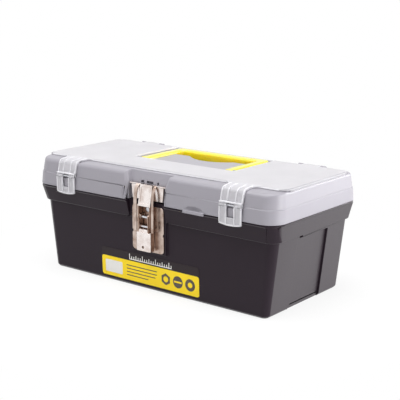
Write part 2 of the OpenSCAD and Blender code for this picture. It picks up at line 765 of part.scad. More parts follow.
module latch_hook() {
    hook_top = hook_z + hook_h;
    color(steel)
    difference() {
        union() {
            for (s = [-1, 1])
                mirror([s > 0 ? 0 : 1, 0, 0]) {
                    // Wing beside the channel, channel wall, and the ear down to the link pin
                    box([hook_ear_x - sheet, -plate_y, hook_z], [latch_w / 2, -pad_y, hook_top]);
                    along_x(hook_ear_x - sheet, hook_ear_x)
                        polygon([
                            [-hook_front, hook_panel_z], [-pad_y - sheet / 2, hook_panel_z],
                            [-pad_y - sheet / 2, hook_top], [-hook_slim, hook_top]
                        ]);
                    box([hook_ear_x - sheet, -hook_front, link_z], [hook_ear_x, -hook_back, hook_panel_z]);
                    rod(hook_ear_x - sheet, hook_ear_x, -pivot_a_y, link_z, ear_r);
                }
            // Front of the channel, which leans in towards the lip
            along_x(-hook_ear_x, hook_ear_x)
                polygon([
                    [-hook_front, hook_panel_z], [-hook_front + sheet, hook_panel_z],
                    [-hook_slim + sheet, hook_top], [-hook_slim, hook_top]
                ]);
            box([-lip_w / 2, -plate_y, hook_top - sheet], [lip_w / 2, -plate_y + lip_d, hook_top]);
            box([-hook_ear_x, -hook_slim, hook_top - sheet], [hook_ear_x, -plate_y + lip_d, hook_top]);
        }
        rod(-latch_w, latch_w, -pivot_a_y, link_z, latch_pin_d / 2 + pin_run);
        // Room for the base plate behind the channel walls
        box([-latch_w, -plate_y - air, plate_z], [latch_w, 0, plate_top + air]);
    }
}

module latch_link_pin() {
    color(pin_steel) rod(-hook_ear_x, hook_ear_x, -pivot_a_y, link_z, latch_pin_d / 2);
}

body_tub();
label_sticker();
lid_shell();
lid_hinge_pin(-1);  // lid_hinge_pin_left
lid_hinge_pin(1);  // lid_hinge_pin_right
organizer_cover();
cover_hinge_pin(-1);  // cover_hinge_pin_left
cover_hinge_pin(1);  // cover_hinge_pin_right
clip(-1);  // clip_left
clip(1);  // clip_right
clip_pin(-1);  // clip_pin_left
clip_pin(1);  // clip_pin_right
carry_handle();
handle_pin(-1);  // handle_pin_left
handle_pin(1);  // handle_pin_right
latch_base();
latch_rivets();
latch_lever();
latch_pivot_pin();
latch_hook();
latch_link_pin();
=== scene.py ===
# Looks of a small plastic tool box: dark tub, grey organizer lid under a clear cover, yellow handle, steel latch.
# The front faces -Y, +Z is up, and the origin is at the middle of the bottom.
import math

import bmesh
import bpy
from mathutils import Matrix, Vector


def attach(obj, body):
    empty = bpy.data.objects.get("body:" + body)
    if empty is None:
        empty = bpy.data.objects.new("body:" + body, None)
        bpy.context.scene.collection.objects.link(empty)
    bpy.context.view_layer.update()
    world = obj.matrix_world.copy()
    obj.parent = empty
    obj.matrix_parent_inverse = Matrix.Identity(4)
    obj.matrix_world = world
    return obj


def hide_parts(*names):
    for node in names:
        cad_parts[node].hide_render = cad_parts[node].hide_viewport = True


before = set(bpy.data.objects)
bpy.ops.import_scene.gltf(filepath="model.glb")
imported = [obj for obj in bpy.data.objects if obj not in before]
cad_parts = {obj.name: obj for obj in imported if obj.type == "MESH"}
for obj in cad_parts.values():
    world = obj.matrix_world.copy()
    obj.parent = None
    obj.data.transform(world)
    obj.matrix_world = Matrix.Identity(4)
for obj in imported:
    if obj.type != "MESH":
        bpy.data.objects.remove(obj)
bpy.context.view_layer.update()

# Camera
# The photograph's viewpoint: a long lens on a 36 mm frame, right of the front and a little above the lid.
# Its place is in metres from the middle of the bottom, and its tilt and turn are in degrees.
bpy.context.scene.view_settings.view_transform = "Standard"
camera_place = (0.6306, -0.7753, 0.3162)
camera_tilt = 13.07
camera_turn = 38.61
focal_mm = 86.4
lens = bpy.data.cameras.new("camera")
lens.lens = focal_mm
camera = bpy.data.objects.new("camera", lens)
camera.location = camera_place
camera.rotation_euler = (math.radians(90 - camera_tilt), 0, math.radians(camera_turn))
bpy.context.scene.collection.objects.link(camera)
bpy.context.scene.camera = camera


# Studio
# A white paper floor that runs past the frame, a white room round it, and soft boxes for light. The strong ones
# hang above and stand at the right and behind, because the top and the right end are the bright faces.
def linear(code):
    """Linear colour with full alpha from an sRGB hex code such as #a0b0c0."""
    shares = [int(code[i:i + 2], 16) / 255 for i in (1, 3, 5)]
    return [c / 12.92 if c <= 0.04045 else ((c + 0.055) / 1.055) ** 2.4 for c in shares] + [1]


def add_node(tree, kind, values=None, links=None, **settings):
    """Add one shader node, with its settings, socket values and incoming links."""
    made = tree.nodes.new(kind)
    for name, value in settings.items():
        setattr(made, name, value)
    for name, value in (values or {}).items():
        made.inputs[name].default_value = value
    for name, socket in (links or {}).items():
        tree.links.new(socket, made.inputs[name])
    return made


def seen_share(tree):
    """One where a ray comes from the camera, a shiny surface or a clear one, and zero for the other rays."""
    ray = add_node(tree, "ShaderNodeLightPath")
    direct = add_node(tree, "ShaderNodeMath", operation="MAXIMUM",
                      links={0: ray.outputs["Is Camera Ray"], 1: ray.outputs["Is Glossy Ray"]})
    return add_node(tree, "ShaderNodeMath", operation="MAXIMUM",
                    links={0: direct.outputs[0], 1: ray.outputs["Is Transmission Ray"]}).outputs[0]


floor_reach = 30
floor_bm = bmesh.new()
bmesh.ops.create_grid(floor_bm, x_segments=1, y_segments=1, size=floor_reach)
floor_mesh = bpy.data.meshes.new("floor")
floor_bm.to_mesh(floor_mesh)
floor_bm.free()
floor = bpy.data.objects.new("floor", floor_mesh)
bpy.context.scene.collection.objects.link(floor)

# The paper keeps part of its real shading near the box, for the shadow, and goes to plain white further out
near, far = 0.16, 0.3
glow_near = 0.84
paper = bpy.data.materials.new("white_paper")
paper.use_nodes = True
tree = paper.node_tree
matt = tree.nodes["Principled BSDF"]
matt.inputs["Base Color"].default_value = linear("#f4f4f4")
matt.inputs["Roughness"].default_value = 0.9
matt.inputs["Specular IOR Level"].default_value = 0
on_floor = add_node(tree, "ShaderNodeTexCoord").outputs["Object"]
away = add_node(tree, "ShaderNodeVectorMath", links={0: on_floor}, operation="LENGTH")
fade = add_node(tree, "ShaderNodeMapRange",
                {"From Min": near, "From Max": far, "To Min": glow_near, "To Max": 1},
                {"Value": away.outputs["Value"]})
share = add_node(tree, "ShaderNodeMath", operation="MULTIPLY",
                 links={0: seen_share(tree), 1: fade.outputs[0]})
glow = add_node(tree, "ShaderNodeEmission", {"Color": linear("#ffffff"), "Strength": 1})
sheet_white = add_node(tree, "ShaderNodeMixShader",
                       links={0: share.outputs[0], 1: matt.outputs[0], 2: glow.outputs[0]})
tree.links.new(sheet_white.outputs[0], tree.nodes["Material Output"].inputs["Surface"])
floor_mesh.materials.append(paper)

room = bpy.data.worlds.new("white_room")
room.use_nodes = True
bpy.context.scene.world = room
room_light = 0.3
strength = add_node(room.node_tree, "ShaderNodeMapRange", {"To Min": room_light, "To Max": 1},
                    {"Value": seen_share(room.node_tree)})
room.node_tree.nodes["Background"].inputs["Color"].default_value = linear("#ffffff")
room.node_tree.links.new(strength.outputs[0], room.node_tree.nodes["Background"].inputs["Strength"])

# Soft boxes: place in metres, side length in metres and power in watts. All face the middle of the box.
box_middle = Vector((0, 0, 0.06))
for name, place, side, power in (
    ("right_soft_box", (1.3, 0.15, 0.3), 0.8, 14),
    ("back_soft_box", (0.9, 1.15, 0.33), 0.6, 11),
    ("top_soft_box", (-0.1, -0.25, 1.3), 1.1, 19.5),
    ("front_soft_box", (-0.5, -1.5, 0.9), 0.9, 0.6),
):
    lamp = bpy.data.lights.new(name, "AREA")
    lamp.size = side
    lamp.energy = power
    lamp_object = bpy.data.objects.new(name, lamp)
    lamp_object.location = place
    aim = box_middle - Vector(place)
    lamp_object.rotation_euler = aim.to_track_quat("-Z", "Y").to_euler()
    bpy.context.scene.collection.objects.link(lamp_object)


# Tub
# The dark body, injection moulded in one piece in charcoal polypropylene, with a stepped band and flange round
# its rim, a sunk panel in each end, a flat pad for the latch and four hinge knuckles along the back.
mm = 0.001


def moulded_plastic(name, base, shade, roughness, gloss, grain):
    """Injection-moulded plastic: even colour with faint cloudy flow marks, and a spark-eroded satin skin.
    The real grain is about 0.2 mm; grain gives it in mm as drawn, coarser so that it shows."""
    material = bpy.data.materials.new(name)
    material.use_nodes = True
    tree = material.node_tree
    shader = tree.nodes["Principled BSDF"]
    shader.inputs["Specular IOR Level"].default_value = gloss
    shader.inputs["IOR"].default_value = 1.49
    place = add_node(tree, "ShaderNodeTexCoord").outputs["Object"]
    flow_mm = 45
    flow = add_node(tree, "ShaderNodeTexNoise", {"Scale": 1000 / flow_mm, "Detail": 3}, {"Vector": place})
    colour = add_node(tree, "ShaderNodeMix", {6: linear(shade), 7: linear(base)}, {0: flow.outputs[0]},
                      data_type="RGBA")
    tree.links.new(colour.outputs[2], shader.inputs["Base Color"])
    skin = add_node(tree, "ShaderNodeTexNoise", {"Scale": 1000 / grain, "Detail": 2}, {"Vector": place})
    rough = add_node(tree, "ShaderNodeMapRange", {"To Min": roughness - 0.06, "To Max": roughness + 0.08},
                     {"Value": skin.outputs[0]})
    tree.links.new(rough.outputs[0], shader.inputs["Roughness"])
    bump = add_node(tree, "ShaderNodeBump", {"Strength": 0.12, "Distance": 0.1 * mm}, {"Height": skin.outputs[0]})
    tree.links.new(bump.outputs[0], shader.inputs["Normal"])
    return material


def ring_stack(rings):
    """Closed skin through rounded rectangles, each given as (length, depth, corner radius, height) in mm."""
    corner_steps = 9
    bm = bmesh.new()
    length, depth, radius, height = rings[0]
    bmesh.ops.create_grid(bm, x_segments=1, y_segments=1, size=0.5)
    bmesh.ops.scale(bm, vec=(length * mm, depth * mm, 1), verts=bm.verts)
    bmesh.ops.translate(bm, vec=(0, 0, height * mm), verts=bm.verts)
    bmesh.ops.bevel(bm, geom=bm.verts[:], offset=radius * mm, affect="VERTICES", segments=corner_steps,
                    profile=0.5, material=-1)
    edges = bm.edges[:]
    for old, new in zip(rings, rings[1:]):
        grown = bmesh.ops.extrude_edge_only(bm, edges=edges)["geom"]
        verts = [g for g in grown if isinstance(g, bmesh.types.BMVert)]
        edges = [g for g in grown if isinstance(g, bmesh.types.BMEdge) and set(g.verts) <= set(verts)]
        for vert in verts:
            for axis in (0, 1):
                past = abs(vert.co[axis]) - (old[axis] / 2 - old[2]) * mm
                if past > -mm / 100:
                    start = (new[axis] / 2 - new[2]) * mm
                    vert.co[axis] = math.copysign(start + past * new[2] / old[2], vert.co[axis])
            vert.co.z = new[3] * mm
    bmesh.ops.edgeloop_fill(bm, edges=edges)
    bmesh.ops.recalc_face_normals(bm, faces=bm.faces)
    return bm


def block(bm, low, high):
    """Add a box between two corners in mm, and return its vertices."""
    verts = bmesh.ops.create_cube(bm, size=1)["verts"]
    bmesh.ops.scale(bm, vec=[(b - a) * mm for a, b in zip(low, high)], verts=verts)
    bmesh.ops.translate(bm, vec=[(a + b) / 2 * mm for a, b in zip(low, high)], verts=verts)
    return verts


def bar(bm, x0, x1, y, z, radius):
    """Add a round bar along X, in mm."""
    turn = Matrix.Translation(((x0 + x1) / 2 * mm, y * mm, z * mm)) @ Matrix.Rotation(math.pi / 2, 4, "Y")
    bmesh.ops.create_cone(bm, cap_ends=True, segments=32, radius1=radius * mm, radius2=radius * mm,
                          depth=abs(x1 - x0) * mm, matrix=turn)


def combine(base, tool, operation):
    """Join a closed bmesh to another, or cut it away, and return the result. Both are used up."""
    pair = []
    for bm in (base, tool):
        mesh = bpy.data.meshes.new("blank")
        bm.to_mesh(mesh)
        bm.free()
        pair.append(bpy.data.objects.new("blank", mesh))
        bpy.context.scene.collection.objects.link(pair[-1])
    cut = pair[0].modifiers.new("cut", "BOOLEAN")
    cut.object = pair[1]
    cut.operation = operation
    cut.solver = "EXACT"
    result = bmesh.new()
    result.from_object(pair[0], bpy.context.evaluated_depsgraph_get())
    for spent in pair:
        bpy.data.meshes.remove(spent.data)
    bmesh.ops.remove_doubles(result, verts=result.verts, dist=0.01 * mm)
    return result


def make_piece(name, bm, materials, body, nodes, edge=0.5, angle=28, steps=3, edge_index=-1):
    """Turn a bmesh into a piece that rides on a body for its CAD nodes, with its edges rounded (edge in mm).
    The rounded edges take the material that edge_index counts to, or keep their faces' own."""
    bmesh.ops.dissolve_degenerate(bm, edges=bm.edges, dist=0.02 * mm)
    bmesh.ops.dissolve_limit(bm, angle_limit=math.radians(0.5), verts=bm.verts, edges=bm.edges,
                             delimit={"MATERIAL"})
    # A face that runs all round a rim is split, or it would be filled across
    rim_corners = 60
    bmesh.ops.connect_verts_concave(bm, faces=[f for f in bm.faces if len(f.verts) > rim_corners])
    mesh = bpy.data.meshes.new(name)
    for material in materials:
        mesh.materials.append(material)
    bm.to_mesh(mesh)
    bm.free()
    mesh.shade_smooth()
    piece = bpy.data.objects.new(name, mesh)
    bpy.context.scene.collection.objects.link(piece)
    round_over = piece.modifiers.new("rounded edges", "BEVEL")
    round_over.width = edge * mm
    round_over.segments = steps
    round_over.limit_method = "ANGLE"
    round_over.angle_limit = math.radians(angle)
    round_over.miter_outer = "MITER_ARC"
    round_over.use_clamp_overlap = False
    round_over.material = edge_index
    piece.modifiers.new("even shading", "WEIGHTED_NORMAL")
    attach(piece, body)
    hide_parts(*nodes)


wall = 1.8
rim_z = 95
flange_z = 93.4
band_z = 76
foot_z = 2.5
pad_y = -69.5
pad_half = 23
pad_z = 41.5
pad_root_y = -65.5
notch_half = 25
notch_wall_y = -70.4
notch_wall_lean = 4.2
hinge_y = 82
hinge_z = 94
knuckle_r = 4
lid_hinge_x = 100
tub = ring_stack([
    (283, 127, 4.5, 0),
    (288, 132, 7, foot_z),
    (306, 135, 9, band_z),
    (312, 141, 12, band_z + 0.6),
    (316.8, 149.8, 12, 92.8),
    (319, 153, 17.5, flange_z),
    (319, 153, 17.5, rim_z),
    (313.2, 146.2, 10.2, rim_z),
    (313.2, 146.2, 10.2, flange_z),
    (308.4, 137.4, 10.2, band_z + wall),
    (302.4, 131.4, 7.2, band_z),
    (284.4, 128.4, 5.2, 4.9),
    (281.9, 125.9, 3.95, 2.4),
])
# Wall behind the latch notch, and the pad below it
extra = bmesh.new()
verts = block(extra, (-notch_half - wall, notch_wall_y, band_z + 0.4), (notch_half + wall, pad_y + wall, rim_z))
front_top = [v for v in verts if v.co.z > flange_z * mm and v.co.y < pad_y * mm]
bmesh.ops.translate(extra, vec=(0, -notch_wall_lean * mm, 0), verts=front_top)
tub = combine(tub, extra, "UNION")
extra = bmesh.new()
block(extra, (-pad_half, pad_y, pad_z), (pad_half, pad_root_y, rim_z - 12))
# Raised backs of the sunk end panels, inside the tub, square to the leaning ends
end_foot_x = 144
wall_rise = band_z - foot_z
end_lean = math.atan2(9, wall_rise)
panel_half = 27
panel_top = 71
panel_sunk = 2.5
end_swing = [Matrix.Translation((s * end_foot_x * mm, 0, foot_z * mm)) @ Matrix.Rotation(s * end_lean, 4, "Y")
             @ Matrix.Diagonal((s, 1, 1, 1)) for s in (-1, 1)]
for swing in end_swing:
    verts = block(extra, (-panel_sunk - wall, -panel_half - wall, 1.5), (-1, panel_half + wall, panel_top + 2))
    bmesh.ops.transform(extra, matrix=swing, verts=verts)
bmesh.ops.recalc_face_normals(extra, faces=extra.faces)
tub = combine(tub, extra, "UNION")
# The notch in the rim, the sunk panels and the small slots above them
cuts = bmesh.new()
block(cuts, (-notch_half, -90, pad_z + 30), (notch_half, pad_y, rim_z + 5))
for swing in end_swing:
    verts = block(cuts, (-panel_sunk, -panel_half, -20), (20, panel_half, panel_top))
    bmesh.ops.transform(cuts, matrix=swing, verts=verts)
bmesh.ops.recalc_face_normals(cuts, faces=cuts.faces)
tub = combine(tub, cuts, "DIFFERENCE")
slot_in = 9.5
cuts = bmesh.new()
for x in (-160, 160):
    block(cuts, (x - slot_in, -24, 73.8), (x + slot_in, -19, 76.3))
tub = combine(tub, cuts, "DIFFERENCE")
# Hinge knuckles along the back, each on a short block
knuckle_half = 4.5
knuckles = bmesh.new()
roots = bmesh.new()
for side in (-1, 1):
    for step in (-12.9, 12.9):
        x = side * lid_hinge_x + step
        bar(knuckles, x - knuckle_half, x + knuckle_half, hinge_y, hinge_z, knuckle_r)
        block(roots, (x - knuckle_half, 73.5, 87.4), (x + knuckle_half, hinge_y, hinge_z))
tub = combine(tub, knuckles, "UNION")
tub = combine(tub, roots, "UNION")
# Its fine grain is almost matt from the front, and shines when it is seen at a low angle
matt_gloss = 0.2
low_gloss = 1
charcoal = moulded_plastic("charcoal_polypropylene", "#271d26", "#231922", 0.46, matt_gloss, 1.4)
tree = charcoal.node_tree
slant = add_node(tree, "ShaderNodeLayerWeight", {"Blend": 0.5})
shine = add_node(tree, "ShaderNodeMapRange",
                 {"From Min": 0.42, "From Max": 0.52, "To Min": matt_gloss, "To Max": low_gloss},
                 {"Value": slant.outputs["Facing"]})
tree.links.new(shine.outputs[0], tree.nodes["Principled BSDF"].inputs["Specular IOR Level"])
make_piece("tub", tub, [charcoal], "body", ["body_tub"], edge=0.6)


# Hinge and pivot pins
# Cut lengths of bright drawn steel wire, pressed into the ears of one moulding or pressing and turning in the
# other. Their shape is right as it stands, so only their finish is added.
def plated_steel(name, base, dull, roughness):
    """Nickel plate on pressed steel: bright and a little warm, with fine rolling lines and dull smudges.
    The real rolling lines are about 0.1 mm apart; they are drawn 1 mm apart so that they show."""
    material = bpy.data.materials.new(name)
    material.use_nodes = True
    tree = material.node_tree
    shader = tree.nodes["Principled BSDF"]
    shader.inputs["Metallic"].default_value = 1
    place = add_node(tree, "ShaderNodeTexCoord").outputs["Object"]
    smudge_mm = 9
    smudge = add_node(tree, "ShaderNodeTexNoise", {"Scale": 1000 / smudge_mm, "Detail": 4}, {"Vector": place})
    spread = add_node(tree, "ShaderNodeMapRange", {"From Min": 0.35, "From Max": 0.62},
                      {"Value": smudge.outputs[0]})
    colour = add_node(tree, "ShaderNodeMix", {6: linear(dull), 7: linear(base)}, {0: spread.outputs[0]},
                      data_type="RGBA")
    tree.links.new(colour.outputs[2], shader.inputs["Base Color"])
    rough = add_node(tree, "ShaderNodeMapRange", {"To Min": roughness - 0.06, "To Max": roughness + 0.12},
                     {"Value": smudge.outputs[0]})
    tree.links.new(rough.outputs[0], shader.inputs["Roughness"])
    line_mm = 1
    stretch = add_node(tree, "ShaderNodeMapping", {"Scale": (1, 1, 0.08)}, {"Vector": place})
    lines = add_node(tree, "ShaderNodeTexNoise", {"Scale": 1000 / line_mm, "Detail": 2},
                     {"Vector": stretch.outputs[0]})
    bump = add_node(tree, "ShaderNodeBump", {"Strength": 0.1, "Distance": 0.05 * mm}, {"Height": lines.outputs[0]})
    tree.links.new(bump.outputs[0], shader.inputs["Normal"])
    return material


wire = plated_steel("drawn_steel_wire", "#dcdde2", "#b9babf", 0.24)
for name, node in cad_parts.items():
    if "_pin" in name:
        for holder in node.material_slots:
            holder.material = wire


# Lid
# The grey organizer lid, moulded in one piece in polypropylene: a skirt and a brow with a seam line between
# them, ten small bins and a sunk well for the handle on top, and a scooped recess for the latch in front.
def add_shell(bm, shell, index=0):
    """Add another closed shell to a bmesh, with the material that index counts to. The shell is used up."""
    for face in shell.faces:
        face.material_index = index
    blank = bpy.data.meshes.new("shell")
    shell.to_mesh(blank)
    shell.free()
    bm.from_mesh(blank)
    bpy.data.meshes.remove(blank)


def prism(bm, corners, along):
    """Add a solid whose flat face has these corners, pushed along a vector, all in mm."""
    face = bm.faces.new([bm.verts.new(Vector(c) * mm) for c in corners])
    pushed = bmesh.ops.extrude_face_region(bm, geom=[face])["geom"]
    moved = [g for g in pushed if isinstance(g, bmesh.types.BMVert)]
    bmesh.ops.translate(bm, vec=Vector(along) * mm, verts=moved)
    bmesh.ops.recalc_face_normals(bm, faces=bm.faces)


def loft(outlines):
    """Closed solid through flat outlines with the same number of corners, which are in mm."""
    bm = bmesh.new()
    loops = []
    for outline in outlines:
        verts = [bm.verts.new(Vector(c) * mm) for c in outline]
        loops.append([bm.edges.new((verts[k - 1], verts[k])) for k in range(len(verts))])
    for low, high in zip(loops, loops[1:]):
        bmesh.ops.bridge_loops(bm, edges=low + high)
    for ends in (loops[0], loops[-1]):
        bmesh.ops.edgeloop_fill(bm, edges=ends)
    bmesh.ops.recalc_face_normals(bm, faces=bm.faces)
    return bm


def round_edges(bm, along, offset, where=None):
    """Round the edges that run along an axis (0, 1 or 2), or only those whose middle, in mm, passes a test."""
    round_steps = 5
    picked = []
    for edge in bm.edges:
        start, end = [v.co for v in edge.verts]
        if abs((end - start).normalized()[along]) > 0.99 and (where is None or where((start + end) / 2 / mm)):
            picked.append(edge)
    bmesh.ops.bevel(bm, geom=picked, offset=offset * mm, affect="EDGES", segments=round_steps, profile=0.5,
                    material=-1)


lid_z = 95.3
seam_z = 109.1
seat_z = 124.8
over_z = seat_z + 5
tray_z = 99.1
bin_corner = 2.5
well_x = 67
well_z = 112.3
well_front = -15.5
well_back = 58.5
pivot_y = -10.2
pivot_z = 121.9
clip_x = 110
cover_hinge_y = 63.5
cover_hinge_z = 124
cover_knuckle_r = 2.5
lid = ring_stack([
    (306.6, 113.6, 9, 96.9),
    (306.6, 113.6, 9, 114),
    (309.6, 138, 13.2, 117.2),
    (316.4, 150.4, 16.2, lid_z),
    (320, 154, 18, lid_z),
    (318.85, 151.5, 18, seam_z - 0.3),
    (317.6, 150, 17.4, seam_z - 0.1),
    (317.6, 150.1, 17.4, seam_z + 0.15),
    (315.7, 145.9, 16.5, 119.6),
    (315.4, 144.8, 16.2, 121.1),
    (315.2, 142.9, 15.4, 122.3),
    (314.4, 140.2, 14.2, 123.2),
    (313.6, 137.2, 12.8, 123.6),
    (312, 116, 9, seat_z),
])
# Solid backing for the latch recess and for the back of the handle's well
extra = bmesh.new()
block(extra, (-28.3, -72, lid_z), (28.3, -56.5, 119))
block(extra, (-well_x - wall, 50, 109), (well_x + wall, well_back + wall, 119))
lid = combine(lid, extra, "UNION")
# Bins with rounded corners, and pockets that the knuckles of the cover turn in
cuts = bmesh.new()
bins = [(-151.5, -110.2, -55, -0.9), (-151.5, -110.2, 0.9, 55)]
bins += [(-108.3, -69, 0.9, 55), (-108.3, -68.9, -55, -0.9)]
bins += [(-b, -a, c, d) for a, b, c, d in bins] + [(-67.1, -0.9, -55, -17.5), (0.9, 67.1, -55, -17.5)]
for x0, x1, y0, y1 in bins:
    block(cuts, (x0, y0, tray_z), (x1, y1, over_z))
round_edges(cuts, 2, bin_corner)
pocket_half = 10.4
for x in (-clip_x, clip_x):
    block(cuts, (x - pocket_half, 60.6, 121.1), (x + pocket_half, 66.4, over_z))
lid = combine(lid, cuts, "DIFFERENCE")
# The well, with a ledge beside each of the handle's arms, and a raised floor between the arms that is scooped in
# front of the grip
shelf_z = 123.5
shelf_x = 51
shelf_back = 34.5
scoop_r = 40
scoop_in = 13
ledge_x = 66
ledge_half = 3.4
ledge_z = 123
shelf = bmesh.new()
block(shelf, (-shelf_x, -20, well_z - 2), (shelf_x, shelf_back, shelf_z))
scoop_place = Matrix.Translation((0, (shelf_back - scoop_in + scoop_r) * mm, well_z * mm))
scoop = bmesh.new()
bmesh.ops.create_cone(scoop, cap_ends=True, segments=96, radius1=scoop_r * mm, radius2=scoop_r * mm,
                      depth=60 * mm, matrix=scoop_place)
shelf = combine(shelf, scoop, "DIFFERENCE")
well = bmesh.new()
block(well, (-well_x, well_front, well_z), (well_x, well_back, over_z))
well = combine(well, shelf, "DIFFERENCE")
ledges = bmesh.new()
for side in (-1, 1):
    x = side * ledge_x
    block(ledges, (x - ledge_half, -20, well_z - 2), (x + ledge_half, 65, ledge_z))
well = combine(well, ledges, "DIFFERENCE")
lid = combine(lid, well, "DIFFERENCE")
# Hollow under the well and under its raised floor
for low, high in (
    ((-well_x, well_front, 90), (well_x, 51.5, well_z - 2.2)),
    ((-shelf_x + wall, well_front + wall, 100), (shelf_x - wall, shelf_back - scoop_in - wall, shelf_z - wall)),
):
    cuts = bmesh.new()
    block(cuts, low, high)
    lid = combine(lid, cuts, "DIFFERENCE")
# Recess for the latch, open at the top: above the hook's lip its back leans in and its sides lean out, and the
# sides run out to the front in round edges
recess_half = 24.6
recess_y = -66.6
side_turn = 4.5
seam_y = -75.1
brow_slope = 0.204
skirt_slope = 0.115
quarter = [math.radians(15 * k) for k in range(7)]
outlines = []
for z, lean in ((88, 0), (109, 0), (112.4, 0), (114, 0.3), (117, 1.4), (121, 3), (130, 6.6)):
    back_y = recess_y + lean
    half_x = recess_half + lean
    face_y = seam_y + (z - seam_z) * (brow_slope if z > seam_z else skirt_slope)
    arc = [(half_x + side_turn * (1 - math.cos(q)), face_y + side_turn * (1 - math.sin(q))) for q in quarter]
    half = [(half_x, back_y)] + arc + [(half_x + side_turn, -95)]
    outlines.append([(x, y, z) for x, y in half] + [(-x, y, z) for x, y in reversed(half)])
lid = combine(lid, loft(outlines), "DIFFERENCE")
# Slots behind the hook's lip, and a scoop for the thumb over the lift tab
cuts = bmesh.new()
for x0, x1 in ((-12.5, -8.2), (-4.8, 3.9), (9.3, 11.5)):
    block(cuts, (x0, -70, 112.8), (x1, -62, 115.2))
thumb = Matrix.Translation((65 * mm, -79.6 * mm, 97.6 * mm)) @ Matrix.Diagonal((13.5, 4.6, 4, 1))
bmesh.ops.create_uvsphere(cuts, u_segments=48, v_segments=24, radius=mm, matrix=thumb)
lid = combine(lid, cuts, "DIFFERENCE")
# Hinge knuckles, ears for the cover's pins, bosses for the handle's pins, catches for the clips and the lift tab
lid_knuckle_half = 8
ear_half = 3
catch_half = 3.9
boss_r = 4.3
fittings = bmesh.new()
for side in (-1, 1):
    x = side * lid_hinge_x
    bar(fittings, x - lid_knuckle_half, x + lid_knuckle_half, hinge_y, hinge_z, knuckle_r)
    block(fittings, (x - lid_knuckle_half, 73.9, 95.6), (x + lid_knuckle_half, hinge_y, hinge_z + knuckle_r))
    for step in (-13.4, 13.4):
        x = side * clip_x + step
        bar(fittings, x - ear_half, x + ear_half, cover_hinge_y, cover_hinge_z, cover_knuckle_r)
    bar(fittings, side * 62.4, side * 67.5, pivot_y, pivot_z, boss_r)
    x = side * clip_x
    block(fittings, (x - catch_half, -77.1, 97.5), (x + catch_half, -74.8, 106.5))
add_shell(lid, fittings)
tab_x = 52
tab_long = 26
tab_side = [(-78.8, 93.3), (-77.3, 93.3), (-77.3, 95.5), (-75.9, 95.6), (-75.9, 96.4), (-78.6, 96.2)]
tab = bmesh.new()
prism(tab, [(tab_x, y, z) for y, z in tab_side], (tab_long, 0, 0))
add_shell(lid, tab)
grey = moulded_plastic("grey_polypropylene", "#9c99a1", "#97949c", 0.36, 0.5, 1.4)
make_piece("lid", lid, [grey], "lid", ["lid_shell"], edge=0.5, angle=36)


# Clear cover
# One sheet of frosted clear polypropylene over the whole organizer, hung at the back on two hinge knuckles.
# It has a notch round the handle, a lip over each end, and two beaded arms down the front that carry the clips.
def frosted_plastic(name, tint, bloom_tint, clear, roughness):
    """Clear polypropylene from a satin mould: it lets blurred light through and shows a soft white bloom.
    The satin is about 0.3 mm on the real mould; it is drawn 1.2 mm wide so that it shows."""
    material = bpy.data.materials.new(name)
    material.use_nodes = True
    tree = material.node_tree
    shader = tree.nodes["Principled BSDF"]
    shader.inputs["IOR"].default_value = 1.49
    shader.inputs["Transmission Weight"].default_value = clear
    place = add_node(tree, "ShaderNodeTexCoord").outputs["Object"]
    bloom_mm = 30
    bloom = add_node(tree, "ShaderNodeTexNoise", {"Scale": 1000 / bloom_mm, "Detail": 3}, {"Vector": place})
    colour = add_node(tree, "ShaderNodeMix", {6: linear(tint), 7: linear(bloom_tint)}, {0: bloom.outputs[0]},
                      data_type="RGBA")
    tree.links.new(colour.outputs[2], shader.inputs["Base Color"])
    satin_mm = 1.2
    satin = add_node(tree, "ShaderNodeTexNoise", {"Scale": 1000 / satin_mm, "Detail": 2}, {"Vector": place})
    rough = add_node(tree, "ShaderNodeMapRange", {"To Min": roughness - 0.05, "To Max": roughness + 0.05},
                     {"Value": satin.outputs[0]})
    tree.links.new(rough.outputs[0], shader.inputs["Roughness"])
    return material


frosted = frosted_plastic("frosted_polypropylene", "#d2d0d4", "#e4e2e6", 0.37, 0.36)
# Whiter, less clear copy of the sheet: a painted highlight for edges, beads and hems
frosted_painted_highlight = frosted_plastic("frosted_polypropylene_painted_highlight", "#e4e3e8", "#ebeaee", 0.1, 0.3)
frosted_arm = frosted_plastic("frosted_polypropylene_arm", "#d7d5da", "#e5e3e8", 0.36, 0.36)
frosted_end = frosted_plastic("frosted_polypropylene_end", "#c4c2c7", "#cfcdd2", 0.6, 0.36)
cover_z = 125
cover_top = 126.8
clip_half = 13
ear_w = 5
clip_pin_y = -77.8
bead_w = 1.3
bead_steps = [-clip_half, -5.6, 5.6 - bead_w, clip_half - bead_w]
clip_knuckle_r = 1.7
cover_edge = 1.7
cover_long = 316.6
cover_deep = 117
cover_corner = 9
cover_hinge_half = 10
turns = [math.radians(22.5 * k) for k in range(5)]
insets = [cover_edge * (1 - math.cos(q)) for q in turns]
heights = [cover_top - cover_edge * (1 - math.sin(q)) for q in turns]
cover = ring_stack([(cover_long, cover_deep, cover_corner, cover_z)]
                   + [(cover_long - 2 * a, cover_deep - 2 * a, cover_corner - a, z)
                      for a, z in zip(insets, heights)])
notch = bmesh.new()
block(notch, (-67.6, -16.1, 120), (67.6, 70, 130))
cover = combine(cover, notch, "DIFFERENCE")
lip_x = 157.9
lip_half = 0.4
lips = bmesh.new()
for x in (-lip_x, lip_x):
    block(lips, (x - lip_half, -49.5, 123.7), (x + lip_half, 49.5, cover_z + 0.05))
cover = combine(cover, lips, "UNION")
